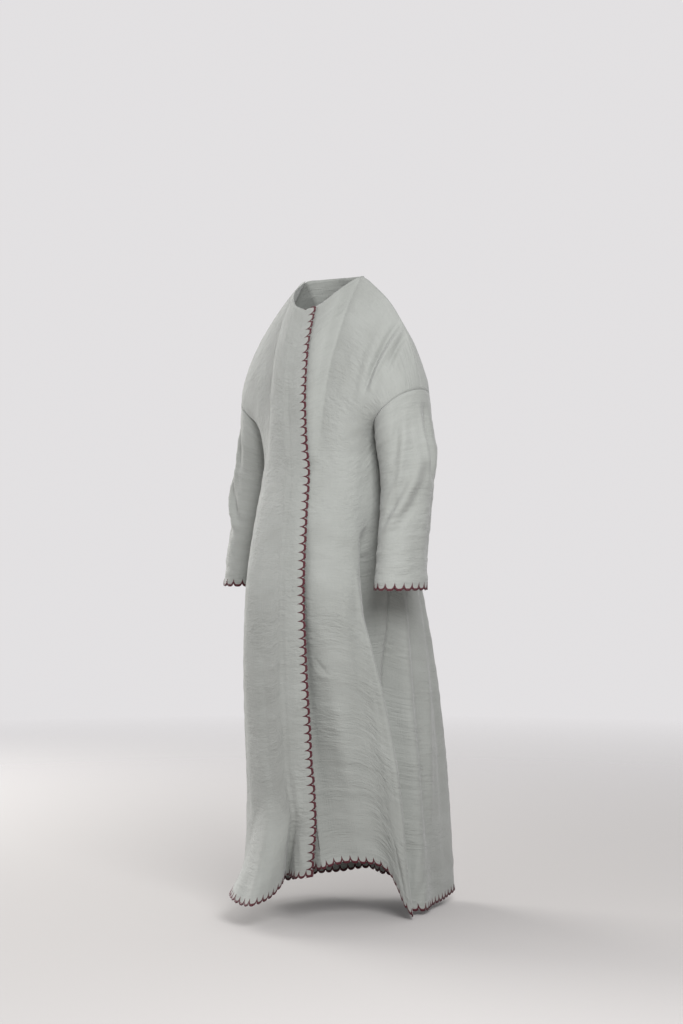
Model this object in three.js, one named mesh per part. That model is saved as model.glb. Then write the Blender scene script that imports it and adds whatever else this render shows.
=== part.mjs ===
// Full-length open-front abaya, worn, wearer's right front lapped over the left.
// Frame: millimetres, +Z up, front of the wearer towards -Y, wearer's left towards +X.
// The origin lies between the shoulder-neck points, 1450 mm above the floor.
// Every panel is one sheet of cloth, its outer face worked out from the tables below.

import * as THREE from 'three';

// Driving dimensions
const FLOOR = -1450;
const WALL = 2;
const SEAM_GAP = 0.3;
const OVERLAP_LIFT = 7;
const SCALLOP_PITCH = 19;
const CUFF_SCALLOPS = 18;
const SCALLOP_DEPTH = 6.5;
const SCALLOP_STEPS = 4;
const EDGE_STRIP = 24;
const PANEL_WIDTH = 520;
const SKIRT_LENGTH = 950;
const THROAT_Z = -75;
const UNDERARM_Z = -354;
const CHEST_ROW_DROP = 75;
const CHEST_ROW_REACH = 0.45;
const HIP_Z = -710;
const UNDERARM_SIDE_ANGLE = 92;
const HIP_SIDE_ANGLE = 93;

// Mesh density. The armhole is cut into the same steps on the panels and the sleeve.
const CHEST_ROWS = 9;
const SKIRT_ROWS = 20;
const SLEEVE_SIDES = 2 * CHEST_ROWS;
const SLEEVE_RINGS = 9;

// Horizontal sections of the body, bulging out as superellipses.
const LEVELS = [
  { z: 0, side: 140, front: 120, back: 110, shift: 0, power: 2.2 },
  { z: -354, side: 146, front: 140, back: 120, shift: 0, power: 2.2 },
  { z: -450, side: 150, front: 150, back: 130, shift: 0, power: 2.3 },
  { z: -560, side: 156, front: 178, back: 168, shift: 0, power: 2.4 },
  { z: -710, side: 163, front: 206, back: 198, shift: 0, power: 2.5 },
  { z: -900, side: 174, front: 204, back: 226, shift: -3, power: 2.4 },
  { z: -1150, side: 187, front: 186, back: 240, shift: -3, power: 2.2 },
  { z: -1450, side: 201, front: 172, back: 225, shift: -2, power: 2.1 },
];
const BODY_CENTRE_Y = 5;
const SHOULDER_LINE_Y = 12;

// Hem of each panel, one row a fold crest, fold wall or valley.
// angle is the column's place round the hip, x y the hem point, up its height above
// the floor, rise the height above the hem where its fold begins, and bow how late the
// fold opens on the way down.
const RIGHT_FRONT_HEM = [
  { at: 'edge', angle: 25, x: 80, y: -152, up: 110, rise: 300, bow: 1.2 },
  { at: 'pleat', angle: 20, x: 40, y: -163, up: 102, rise: 260, bow: 1.2 },
  { at: 'valley', angle: 11, x: -12, y: -134, up: 100, rise: 170, bow: 1 },
  { at: 'wall', angle: 3, x: 8, y: -170, up: 85, rise: 200, bow: 1 },
  { at: 'wall', angle: -3, x: 9, y: -200, up: 66, rise: 240, bow: 1 },
  { at: 'wall', angle: -9, x: 11, y: -232, up: 58, rise: 300, bow: 1.1 },
  { at: 'crest', angle: -16, x: 5, y: -268, up: 52, rise: 300, bow: 1.2 },
  { at: 'crest', angle: -22, x: -28, y: -264, up: 50, rise: 200, bow: 1.2 },
  { at: 'crest', angle: -28, x: -62, y: -255, up: 56, rise: 110, bow: 1.2 },
  { at: 'wall', angle: -42, x: -120, y: -200, up: 60, rise: 70, bow: 1.2 },
  { at: 'valley', angle: -60, x: -162, y: -112, up: 58, rise: 200, bow: 1.2 },
  { at: 'crest', angle: -80, x: -216, y: -12, up: 46, rise: 500, bow: 1.2 },
  { at: 'seam', angle: -104, x: -203, y: 95, up: 38, rise: 600, bow: 1.1 },
];
const LEFT_FRONT_HEM = [
  { at: 'edge', angle: -12, x: -40, y: -90, up: 120, rise: 760, bow: 1.2 },
  { at: 'under', angle: 2, x: 12, y: -102, up: 118, rise: 760, bow: 1.2 },
  { at: 'under', angle: 14, x: 54, y: -113, up: 116, rise: 760, bow: 1.2 },
  { at: 'show', angle: 20, x: 71, y: -110, up: 117, rise: 700, bow: 1.2 },
  { at: 'valley', angle: 28, x: 80, y: -80, up: 124, rise: 640, bow: 1.2 },
  { at: 'wall', angle: 36, x: 97, y: -52, up: 128, rise: 640, bow: 1.2 },
  { at: 'wall', angle: 44, x: 118, y: -28, up: 126, rise: 640, bow: 1.2 },
  { at: 'wall', angle: 54, x: 136, y: 6, up: 119, rise: 640, bow: 1.1 },
  { at: 'wall', angle: 62, x: 157, y: 20, up: 102, rise: 640, bow: 1 },
  { at: 'wall', angle: 71, x: 176, y: 27, up: 68, rise: 640, bow: 0.9 },
  { at: 'wall', angle: 79, x: 190, y: 34, up: 30, rise: 660, bow: 0.9 },
  { at: 'crest', angle: 86, x: 203, y: 47, up: 7, rise: 680, bow: 0.9 },
  { at: 'wall', angle: 95, x: 187, y: 68, up: 7, rise: 680, bow: 0.9 },
  { at: 'seam', angle: 104, x: 167, y: 88, up: 9, rise: 680, bow: 0.9 },
];
const BACK_HEM = [
  { at: 'seam', angle: 104, x: 167, y: 88, up: 9, rise: 680, bow: 0.9 },
  { at: 'crest', angle: 113, x: 184, y: 120, up: 7, rise: 800, bow: 0.9 },
  { at: 'valley', angle: 124, x: 160, y: 176, up: 9, rise: 820, bow: 0.85 },
  { at: 'wall', angle: 135, x: 146, y: 240, up: 13, rise: 840, bow: 0.8 },
  { at: 'crest', angle: 148, x: 114, y: 318, up: 24, rise: 850, bow: 0.75 },
  { at: 'valley', angle: 160, x: 62, y: 262, up: 34, rise: 800, bow: 0.9 },
  { at: 'crest', angle: 176, x: 16, y: 292, up: 42, rise: 760, bow: 1 },
  { at: 'valley', angle: 190, x: -34, y: 238, up: 52, rise: 700, bow: 1.1 },
  { at: 'crest', angle: 208, x: -88, y: 244, up: 60, rise: 700, bow: 1.1 },
  { at: 'valley', angle: 224, x: -122, y: 184, up: 56, rise: 650, bow: 1.1 },
  { at: 'crest', angle: 240, x: -184, y: 158, up: 46, rise: 600, bow: 1.1 },
  { at: 'seam', angle: 256, x: -203, y: 95, up: 38, rise: 600, bow: 1.1 },
];

// Where the two front edges run, as angles round the body.
const RIGHT_EDGE_LINE = [
  { z: -75, angle: 8 },
  { z: -430, angle: 20 },
  { z: -710, angle: 26.5 },
  { z: -1000, angle: 28.6 },
  { z: -1100, angle: 28.6 },
  { z: -1170, angle: 31.2 },
  { z: -1230, angle: 33.4 },
  { z: -1450, angle: 35 },
];
const LEFT_EDGE_LINE = [
  { z: -75, angle: -6 },
  { z: -430, angle: -10 },
  { z: -710, angle: -12 },
  { z: -1450, angle: -12 },
];

// Long folds of the skirt beside the left seam: heights where each begins and ends, its
// angle round the body there, how far it stands out, and its half width in degrees.
const SKIRT_FOLDS = [
  { at: 'hip valley', from: -520, to: -1100, startAngle: 78, endAngle: 97, height: -30, width: 9 },
  { at: 'seam valley', from: -800, to: -1440, startAngle: 93, endAngle: 93, height: -40, width: 9 },
  { at: 'flute crest', from: -560, to: -1440, startAngle: 66, endAngle: 79, height: 9, width: 8 },
];

// Neck and shoulder lines from the centre out to the top of the armhole.
const FRONT_TOP = [
  { along: 0, x: 0, y: -78, z: -78 },
  { along: 0.12, x: 38, y: -71, z: -62 },
  { along: 0.23, x: 67, y: -40, z: -28 },
  { along: 0.31, x: 80, y: 12, z: 0 },
  { along: 0.5, x: 128, y: 12, z: -28 },
  { along: 0.66, x: 176, y: 12, z: -74 },
  { along: 0.8, x: 220, y: 12, z: -142 },
  { along: 0.92, x: 245, y: 12, z: -212 },
  { along: 1, x: 254, y: 12, z: -262 },
];
const BACK_TOP = [
  { along: 0, x: 0, y: 66, z: 8 },
  { along: 0.12, x: 36, y: 62, z: 8 },
  { along: 0.23, x: 66, y: 42, z: 5 },
  { along: 0.31, x: 80, y: 12, z: 0 },
  { along: 0.5, x: 128, y: 12, z: -28 },
  { along: 0.66, x: 176, y: 12, z: -74 },
  { along: 0.8, x: 220, y: 12, z: -142 },
  { along: 0.92, x: 245, y: 12, z: -212 },
  { along: 1, x: 254, y: 12, z: -262 },
];
const FRONT_CENTRE = [
  { along: 0, y: -78, z: -78 },
  { along: 0.25, y: -112, z: -160 },
  { along: 0.5, y: -130, z: -250 },
  { along: 0.75, y: -138, z: -340 },
  { along: 1, y: -142.4, z: -429 },
];
const BACK_CENTRE = [
  { along: 0, y: 66, z: 8 },
  { along: 0.25, y: 108, z: -90 },
  { along: 0.5, y: 125, z: -205 },
  { along: 0.75, y: 129, z: -320 },
  { along: 1, y: 132.8, z: -429 },
];

// Sections down the sleeve. The first is the armhole, the last the cuff.
// lean lifts the outer side and drops the inner side of a section.
const SLEEVE_SECTIONS = [
  { along: 0, x: 200, y: 12, z: -308, across: 54, front: 74, back: 74, lean: 46 },
  { along: 0.13, x: 206, y: 12, z: -358, across: 55, front: 74, back: 76, lean: 34 },
  { along: 0.3, x: 214, y: 14, z: -424, across: 56, front: 72, back: 76, lean: 20 },
  { along: 0.45, x: 221, y: 8, z: -486, across: 55, front: 71, back: 71, lean: 12 },
  { along: 0.62, x: 224, y: -3, z: -556, across: 53, front: 70, back: 72, lean: 7 },
  { along: 0.82, x: 225, y: -16, z: -638, across: 51, front: 70, back: 71, lean: 3 },
  { along: 1, x: 226, y: -26, z: -707, across: 51, front: 70, back: 70, lean: 0 },
];
// Long soft folds of the sleeve, angles counted from its outer side to its front.
const SLEEVE_FOLDS = [
  { at: 'elbow ridge', from: 0.16, to: 0.66, startAngle: -25, endAngle: 60, height: 6, width: 22 },
  { at: 'elbow trough', from: 0.3, to: 0.8, startAngle: -10, endAngle: 75, height: -5, width: 20 },
  { at: 'rear drape', from: 0.1, to: 0.5, startAngle: -95, endAngle: -120, height: 8, width: 30 },
  { at: 'forearm trough', from: 0.45, to: 1, startAngle: 20, endAngle: 5, height: -4, width: 20 },
];

// Colours of the cloth
const SKIRT_CLOTH = { color: 0x8b9092, roughness: 0.85, metalness: 0 };
const SLEEVE_CLOTH = { color: 0x969ca0, roughness: 0.85, metalness: 0 };

// Helpers
const lerp = (a, b, t) => a + (b - a) * t;
const clamp = (t) => Math.min(1, Math.max(0, t));
const smooth = (t) => clamp(t) * clamp(t) * (3 - 2 * clamp(t));
const radians = (angle) => (angle * Math.PI) / 180;
const signedPower = (value, power) => Math.sign(value) * Math.abs(value) ** power;

// A smooth curve through table rows: reads one column at a place along the key column.
function readTable(rows, key, column, place) {
  const rising = rows[rows.length - 1][key] > rows[0][key];
  let i = 0;
  while (i < rows.length - 2 && (rising ? place > rows[i + 1][key] : place < rows[i + 1][key])) {
    i += 1;
  }
  const span = rows[i + 1][key] - rows[i][key];
  const t = clamp((place - rows[i][key]) / span);
  const slopeAt = (k) => {
    const before = rows[Math.max(0, k - 1)];
    const after = rows[Math.min(rows.length - 1, k + 1)];
    return (after[column] - before[column]) / (after[key] - before[key]);
  };
  const t2 = t * t;
  const t3 = t2 * t;
  return rows[i][column] * (2 * t3 - 3 * t2 + 1)
    + rows[i + 1][column] * (3 * t2 - 2 * t3)
    + slopeAt(i) * span * (t3 - 2 * t2 + t)
    + slopeAt(i + 1) * span * (t3 - t2);
}

// Adds to each hem row its place along the hem, 0 to 1, by length.
function withPlaces(rows) {
  let length = 0;
  const places = rows.map((row, i) => {
    const last = rows[Math.max(0, i - 1)];
    length += Math.hypot(row.x - last.x, row.y - last.y, row.up - last.up);
    return length;
  });
  return rows.map((row, i) => ({ ...row, place: places[i] / length, z: FLOOR + row.up }));
}

function sideAngle(z) {
  const t = smooth((UNDERARM_Z - z) / (UNDERARM_Z - HIP_Z));
  return lerp(UNDERARM_SIDE_ANGLE, HIP_SIDE_ANGLE, t);
}

function bodySection(z, angle) {
  const level = (column) => readTable(LEVELS, 'z', column, z);
  const power = 2 / level('power');
  const across = signedPower(Math.sin(radians(angle)), power);
  const ahead = signedPower(Math.cos(radians(angle)), power);
  const depth = ahead > 0 ? level('front') : level('back');
  return new THREE.Vector3(level('shift') + level('side') * across, BODY_CENTRE_Y - depth * ahead, z);
}

// Height where the chest grid hands over to the skirt grid, lowest at the centre.
function chestRowZ(c) {
  return UNDERARM_Z - CHEST_ROW_DROP * Math.sin((Math.PI / 2) * clamp((1 - Math.abs(c)) / CHEST_ROW_REACH));
}

// How far the long folds stand the skirt off its plain form.
function skirtStand(z, angle) {
  let stand = 0;
  for (const fold of SKIRT_FOLDS) {
    const t = (z - fold.from) / (fold.to - fold.from);
    if (t > 0 && t < 1) {
      const away = (angle - lerp(fold.startAngle, fold.endAngle, t)) / fold.width;
      stand += fold.height * Math.sin(Math.PI * t) * Math.exp(-(away ** 2));
    }
  }
  return stand;
}

function sleeveSection(place, angle) {
  const read = (column) => readTable(SLEEVE_SECTIONS, 'along', column, place);
  const turn = radians(angle);
  const depth = Math.sin(turn) > 0 ? read('front') : read('back');
  let reach = 1;
  for (const fold of SLEEVE_FOLDS) {
    const t = (place - fold.from) / (fold.to - fold.from);
    if (t > 0 && t < 1) {
      const centre = lerp(fold.startAngle, fold.endAngle, t);
      const away = ((angle - centre + 540) % 360) - 180;
      reach += (fold.height / 60) * Math.sin(Math.PI * t) * Math.exp(-((away / fold.width) ** 2));
    }
  }
  return new THREE.Vector3(
    read('x') + read('across') * reach * Math.cos(turn),
    read('y') - depth * reach * Math.sin(turn),
    read('z') + read('lean') * Math.cos(turn),
  );
}

// Patch between the neck and shoulder line, the armhole, the chest row and the centre.
function chestPatch(isFront, c, r) {
  const top = isFront ? FRONT_TOP : BACK_TOP;
  const centre = isFront ? FRONT_CENTRE : BACK_CENTRE;
  const a = Math.abs(c);
  const limit = isFront ? Math.min : Math.max;
  const topAt = (t) => new THREE.Vector3(
    readTable(top, 'along', 'x', t),
    limit(SHOULDER_LINE_Y, readTable(top, 'along', 'y', t)),
    readTable(top, 'along', 'z', t),
  );
  const centreAt = (t) => new THREE.Vector3(
    0,
    readTable(centre, 'along', 'y', t),
    readTable(centre, 'along', 'z', t),
  );
  const armholeAt = (t) => sleeveSection(0, (isFront ? 180 : -180) * t);
  const rowAt = (t) => {
    const angle = isFront ? UNDERARM_SIDE_ANGLE * t : 180 - (180 - UNDERARM_SIDE_ANGLE) * t;
    return bodySection(chestRowZ(t), angle);
  };
  const point = topAt(a).multiplyScalar(1 - r).addScaledVector(rowAt(a), r);
  point.addScaledVector(centreAt(r), 1 - a).addScaledVector(armholeAt(r), a);
  point.addScaledVector(topAt(0), -(1 - a) * (1 - r)).addScaledVector(topAt(1), -a * (1 - r));
  point.addScaledVector(rowAt(0), -(1 - a) * r).addScaledVector(rowAt(1), -a * r);
  point.x *= Math.sign(c) || 1;
  return point;
}

// Outer face of a body panel: s runs along the hem, v from 0 at the top, 1 at the
// chest row, to 2 at the hem.
function panelSurface(panel) {
  const hem = withPlaces(panel.hem);
  const first = hem[0].angle;
  const last = hem[hem.length - 1].angle;
  const startAngle = (z) => (panel.edgeLine
    ? readTable(panel.edgeLine, 'z', 'angle', z)
    : sideAngle(z));
  const endAngle = (z) => (panel.edgeLine ? Math.sign(last) * sideAngle(z) : 360 - sideAngle(z));
  const angleAt = (s, z) => {
    const share = (readTable(hem, 'place', 'angle', s) - first) / (last - first);
    return lerp(startAngle(z), endAngle(z), share);
  };
  const chestPlace = (angle) => (panel.isFront
    ? angle / UNDERARM_SIDE_ANGLE
    : (180 - angle) / (180 - UNDERARM_SIDE_ANGLE));
  return (s, v) => {
    const rowC = chestPlace(angleAt(s, UNDERARM_Z - CHEST_ROW_DROP));
    const topC = chestPlace(angleAt(s, THROAT_Z));
    let point;
    let angle;
    if (v < 1) {
      const sideC = chestPlace(angleAt(s, UNDERARM_Z));
      const c = panel.isFront ? lerp(topC, lerp(rowC, sideC, Math.abs(sideC) ** 4), v) : sideC;
      const capped = Math.sign(c) * Math.min(1, Math.abs(c));
      point = chestPatch(panel.isFront, capped, v);
      angle = capped * UNDERARM_SIDE_ANGLE;
    } else {
      const startZ = chestRowZ(chestPlace(angleAt(s, UNDERARM_Z)));
      const hemZ = readTable(hem, 'place', 'z', s);
      const z = lerp(startZ, hemZ, v - 1);
      angle = angleAt(s, z);
      point = bodySection(z, angle);
      const rise = readTable(hem, 'place', 'rise', s);
      const grown = clamp((hemZ + rise - z) / rise) ** readTable(hem, 'place', 'bow', s);
      const plain = bodySection(hemZ, angleAt(s, hemZ));
      point.x += grown * (readTable(hem, 'place', 'x', s) - plain.x);
      point.y += grown * (readTable(hem, 'place', 'y', s) - plain.y);
      const stand = skirtStand(z, angle);
      point.x += stand * Math.sin(radians(angle));
      point.y -= stand * Math.cos(radians(angle));
    }
    if (panel.lift) {
      const amount = panel.lift * smooth((angle + 45) / 25);
      point.x += amount * Math.sin(radians(angle));
      point.y -= amount * Math.cos(radians(angle));
    }
    return point;
  };
}

// Evenly spaced places along an edge, by length.
function evenPlaces(pointAt, count) {
  const samples = 600;
  const lengths = [0];
  for (let i = 1; i <= samples; i += 1) {
    const step = pointAt(i / samples).distanceTo(pointAt((i - 1) / samples));
    lengths.push(lengths[i - 1] + step);
  }
  const total = lengths[samples];
  const places = [];
  let k = 0;
  for (let i = 0; i <= count; i += 1) {
    const wanted = (total * i) / count;
    while (k < samples - 1 && lengths[k + 1] < wanted) {
      k += 1;
    }
    places.push((k + clamp((wanted - lengths[k]) / (lengths[k + 1] - lengths[k]))) / samples);
  }
  return places;
}

function edgeLength(pointAt) {
  let length = 0;
  for (let i = 0; i < 300; i += 1) {
    length += pointAt(i / 300).distanceTo(pointAt((i + 1) / 300));
  }
  return length;
}

// How far the scalloped outline lies inside the crest line, 0 at a crest.
function scallopInset(step) {
  const across = 2 * ((step % SCALLOP_STEPS) / SCALLOP_STEPS) - 1;
  return SCALLOP_DEPTH * (1 - Math.sqrt(Math.max(0, 1 - across * across)));
}

// Triangles between two rows of numbered points, each with a rising key.
function stitchRows(a, b, triangles) {
  let i = 0;
  let j = 0;
  while (i < a.length - 1 || j < b.length - 1) {
    const nextA = i < a.length - 1 ? a[i + 1].key : Infinity;
    const nextB = j < b.length - 1 ? b[j + 1].key : Infinity;
    if (nextA <= nextB) {
      triangles.push([a[i].id, b[j].id, a[i + 1].id]);
      i += 1;
    } else {
      triangles.push([a[i].id, b[j].id, b[j + 1].id]);
      j += 1;
    }
  }
}

// Thickens a sheet of outer points inwards into one closed solid.
// Points with a seam direction keep their wall square to that direction.
function shellGeometry(points, seams, triangles) {
  const normals = points.map(() => new THREE.Vector3());
  for (const [a, b, c] of triangles) {
    const face = points[b].clone().sub(points[a]).cross(points[c].clone().sub(points[a]));
    normals[a].add(face);
    normals[b].add(face);
    normals[c].add(face);
  }
  const inner = points.map((point, i) => {
    const normal = normals[i].normalize();
    for (const seam of seams[i] || []) {
      normal.addScaledVector(seam, -normal.dot(seam)).normalize();
    }
    return point.clone().addScaledVector(normal, -WALL);
  });
  const count = points.length;
  const faces = [];
  const open = new Map();
  for (const [a, b, c] of triangles) {
    faces.push([a, b, c], [a + count, c + count, b + count]);
    for (const [from, to] of [[a, b], [b, c], [c, a]]) {
      if (!open.delete(`${to}_${from}`)) {
        open.set(`${from}_${to}`, [from, to]);
      }
    }
  }
  for (const [from, to] of open.values()) {
    faces.push([from, from + count, to], [to, from + count, to + count]);
  }
  const geometry = new THREE.BufferGeometry();
  const all = points.concat(inner);
  const flat = new Float32Array(all.length * 3);
  all.forEach((point, i) => point.toArray(flat, i * 3));
  geometry.setAttribute('position', new THREE.BufferAttribute(flat, 3));
  geometry.setIndex(faces.flat());
  geometry.computeVertexNormals();
  return geometry;
}

// Directions across the shoulder and side seams, and across the armhole seam.
const SEAM_ACROSS = new THREE.Vector3(0, 1, 0);
const ARMHOLE_ACROSS = new THREE.Vector3(
  -SLEEVE_SECTIONS[0].lean,
  0,
  SLEEVE_SECTIONS[0].across,
).normalize();

// A body panel: a grid of rows and columns, and past it the scalloped outline.
function panelMesh(panel) {
  const surface = panelSurface(panel);
  const points = [];
  const seams = [];
  const triangles = [];
  const addPoint = (s, v) => {
    const point = surface(s, v);
    const id = points.length;
    const marks = [];
    const isSide = s >= 1 || (!panel.isFront && s <= 0);
    const onShoulder = v <= 0 && Math.abs(point.x) > 79;
    if ((isSide && v >= 1) || onShoulder) {
      marks.push(SEAM_ACROSS);
      point.y += (panel.isFront ? -0.5 : 0.5) * SEAM_GAP;
    }
    if (isSide && v <= 1) {
      const across = ARMHOLE_ACROSS.clone();
      across.x *= Math.sign(point.x);
      marks.push(across);
      point.addScaledVector(across, 0.5 * SEAM_GAP);
    }
    points.push(point);
    seams.push(marks);
    return id;
  };

  const hemAt = (s) => surface(s, 2);
  const edgeAt = (t) => surface(0, 2 * t);
  const hemLength = edgeLength(hemAt);
  const firstS = panel.isFront ? EDGE_STRIP / PANEL_WIDTH : 0;
  const lastV = 2 - EDGE_STRIP / SKIRT_LENGTH;
  const rowPlaces = [];
  for (let j = 0; j <= CHEST_ROWS; j += 1) {
    rowPlaces.push(j / CHEST_ROWS);
  }
  for (let j = 1; j <= SKIRT_ROWS; j += 1) {
    rowPlaces.push(1 + ((lastV - 1) * j) / SKIRT_ROWS);
  }
  const grid = rowPlaces.map((v) => {
    const row = [];
    for (let i = 0; i <= panel.columns; i += 1) {
      const s = lerp(firstS, 1, i / panel.columns);
      row.push({ id: addPoint(s, v), key: 1 + (s - firstS) / (1 - firstS) });
    }
    return row;
  });
  for (let j = 0; j < grid.length - 1; j += 1) {
    for (let i = 0; i < panel.columns; i += 1) {
      const [a, b] = [grid[j][i].id, grid[j][i + 1].id];
      const [c, d] = [grid[j + 1][i].id, grid[j + 1][i + 1].id];
      triangles.push([a, c, b], [b, c, d]);
    }
  }

  const inside = [];
  const outline = [];
  if (panel.isFront) {
    grid.forEach((row, j) => inside.push({ id: row[0].id, key: rowPlaces[j] / lastV }));
    const edgeSteps = SCALLOP_STEPS * Math.round(edgeLength(edgeAt) / SCALLOP_PITCH);
    evenPlaces(edgeAt, edgeSteps).forEach((t, k) => {
      const v = 2 * t;
      const width = surface(0.01, v).distanceTo(surface(0, v)) / 0.01;
      const corner = k === 0 || k === edgeSteps;
      const inset = corner ? 0 : scallopInset(k) / width;
      if (k < edgeSteps) {
        outline.push({ id: addPoint(inset, v), key: t });
      }
    });
    inside.pop();
  }
  inside.push(...grid[grid.length - 1]);
  const hemSteps = SCALLOP_STEPS * Math.round(hemLength / SCALLOP_PITCH);
  evenPlaces(hemAt, hemSteps).forEach((s, k) => {
    const height = surface(s, 2).distanceTo(surface(s, 1.99)) / 0.01;
    const corner = panel.isFront && k === 0;
    outline.push({ id: addPoint(s, 2 - (corner ? 0 : scallopInset(k) / height)), key: 1 + s });
  });
  stitchRows(inside, outline, triangles);
  const outward = triangles.map(([a, b, c]) => (panel.turn > 0 ? [a, b, c] : [a, c, b]));
  return clothMesh(panel.name, shellGeometry(points, seams, outward), SKIRT_CLOTH);
}

function sleeveMesh(name, side) {
  const points = [];
  const seams = [];
  const triangles = [];
  const across = ARMHOLE_ACROSS.clone();
  across.x *= side;
  const addPoint = (place, angle) => {
    const point = sleeveSection(place, angle);
    point.x *= side;
    if (place <= 0) {
      point.addScaledVector(across, -0.5 * SEAM_GAP);
    }
    points.push(point);
    seams.push(place <= 0 ? [across] : []);
    return points.length - 1;
  };
  const length = edgeLength((t) => sleeveSection(t, 90));
  const lastPlace = 1 - EDGE_STRIP / length;
  const rings = [];
  for (let j = 0; j <= SLEEVE_RINGS; j += 1) {
    const ring = [];
    for (let i = 0; i < SLEEVE_SIDES; i += 1) {
      const id = addPoint((lastPlace * j) / SLEEVE_RINGS, (360 * i) / SLEEVE_SIDES);
      ring.push({ id, key: i / SLEEVE_SIDES });
    }
    ring.push({ id: ring[0].id, key: 1 });
    rings.push(ring);
  }
  for (let j = 0; j < SLEEVE_RINGS; j += 1) {
    for (let i = 0; i < SLEEVE_SIDES; i += 1) {
      const [a, b] = [rings[j][i].id, rings[j][i + 1].id];
      const [c, d] = [rings[j + 1][i].id, rings[j + 1][i + 1].id];
      triangles.push([a, c, b], [b, c, d]);
    }
  }
  const cuff = [];
  const cuffSteps = SCALLOP_STEPS * CUFF_SCALLOPS;
  const turns = evenPlaces((t) => sleeveSection(1, 360 * t), cuffSteps);
  turns.forEach((t, k) => {
    if (k < cuffSteps) {
      cuff.push({ id: addPoint(1 - scallopInset(k) / length, 360 * t), key: t });
    }
  });
  cuff.push({ id: cuff[0].id, key: 1 });
  stitchRows(rings[SLEEVE_RINGS], cuff, triangles);
  const outward = triangles.map(([a, b, c]) => (side > 0 ? [a, c, b] : [a, b, c]));
  return clothMesh(name, shellGeometry(points, seams, outward), SLEEVE_CLOTH);
}

function clothMesh(name, geometry, cloth) {
  const mesh = new THREE.Mesh(geometry, new THREE.MeshStandardMaterial(cloth));
  mesh.name = name;
  return mesh;
}

// Assembly
const abaya = new THREE.Group();
abaya.add(panelMesh({
  name: 'back',
  isFront: false,
  hem: BACK_HEM,
  columns: 24,
  turn: 1,
}));
abaya.add(panelMesh({
  name: 'front_right',
  isFront: true,
  hem: RIGHT_FRONT_HEM,
  edgeLine: RIGHT_EDGE_LINE,
  lift: OVERLAP_LIFT,
  columns: 18,
  turn: -1,
}));
abaya.add(panelMesh({
  name: 'front_left',
  isFront: true,
  hem: LEFT_FRONT_HEM,
  edgeLine: LEFT_EDGE_LINE,
  lift: 0,
  columns: 14,
  turn: 1,
}));
abaya.add(sleeveMesh('sleeve_left', 1));
abaya.add(sleeveMesh('sleeve_right', -1));

export default abaya;
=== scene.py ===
import math

import bmesh
import bpy
import numpy as np
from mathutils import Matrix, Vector


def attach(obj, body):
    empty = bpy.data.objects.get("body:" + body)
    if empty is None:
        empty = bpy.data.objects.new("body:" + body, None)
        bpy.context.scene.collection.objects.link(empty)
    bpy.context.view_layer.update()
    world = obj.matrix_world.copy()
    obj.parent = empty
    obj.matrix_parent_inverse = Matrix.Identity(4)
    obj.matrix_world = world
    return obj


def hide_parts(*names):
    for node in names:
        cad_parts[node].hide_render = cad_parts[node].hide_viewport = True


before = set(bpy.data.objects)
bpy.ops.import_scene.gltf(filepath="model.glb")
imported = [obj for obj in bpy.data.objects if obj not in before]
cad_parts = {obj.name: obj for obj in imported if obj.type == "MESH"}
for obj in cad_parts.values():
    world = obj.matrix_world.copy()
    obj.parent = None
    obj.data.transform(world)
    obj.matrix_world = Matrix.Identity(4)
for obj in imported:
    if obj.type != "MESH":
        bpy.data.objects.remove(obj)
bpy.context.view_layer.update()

FLOOR_Z = -1.450
CAMERA_DISTANCE = 4.885
CAMERA_ASIDE = 0.026
CAMERA_AZIMUTH = math.radians(40)
CAMERA_Z = -0.534

scene = bpy.context.scene
scene.view_settings.view_transform = "Standard"

world = bpy.data.worlds.new("pale_room")
world.use_nodes = True
world.node_tree.nodes["Background"].inputs["Color"].default_value = (0.765, 0.750, 0.760, 1)
scene.world = world
nodes, links = world.node_tree.nodes, world.node_tree.links
look = nodes.new("ShaderNodeTexCoord")
toward = nodes.new("ShaderNodeVectorMath")
toward.operation = "DOT_PRODUCT"
toward.inputs[1].default_value = (0.766, 0.643, 0)
dim_side = nodes.new("ShaderNodeMapRange")
dim_side.inputs["From Min"].default_value = 0.25
dim_side.inputs["From Max"].default_value = 0.8
dim_side.inputs["To Min"].default_value = 1.0
dim_side.inputs["To Max"].default_value = 0.3
links.new(look.outputs["Generated"], toward.inputs[0])
links.new(toward.outputs["Value"], dim_side.inputs["Value"])
links.new(dim_side.outputs["Result"], nodes["Background"].inputs["Strength"])

floor_mesh = bpy.data.meshes.new("floor")
bm = bmesh.new()
bmesh.ops.create_circle(bm, cap_ends=True, segments=96, radius=14)
bmesh.ops.translate(bm, verts=bm.verts, vec=(0, 0, FLOOR_Z - 0.002))
bm.to_mesh(floor_mesh)
bm.free()
floor = bpy.data.objects.new("floor", floor_mesh)
scene.collection.objects.link(floor)

floor_paint = bpy.data.materials.new("floor_paint")
floor_paint.use_nodes = True
nodes, links = floor_paint.node_tree.nodes, floor_paint.node_tree.links
nodes["Principled BSDF"].inputs["Base Color"].default_value = (0.435, 0.42, 0.409, 1)
nodes["Principled BSDF"].inputs["Roughness"].default_value = 0.9
spot = nodes.new("ShaderNodeTexCoord")
far = nodes.new("ShaderNodeVectorMath")
far.operation = "LENGTH"
fade = nodes.new("ShaderNodeMapRange")
fade.inputs["From Min"].default_value = 1.2
fade.inputs["From Max"].default_value = 5.0
fade.inputs["To Min"].default_value = 1.0
fade.inputs["To Max"].default_value = 0.0
links.new(spot.outputs["Object"], far.inputs[0])
links.new(far.outputs["Value"], fade.inputs["Value"])
links.new(fade.outputs["Result"], nodes["Principled BSDF"].inputs["Alpha"])
floor_mesh.materials.append(floor_paint)


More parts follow.
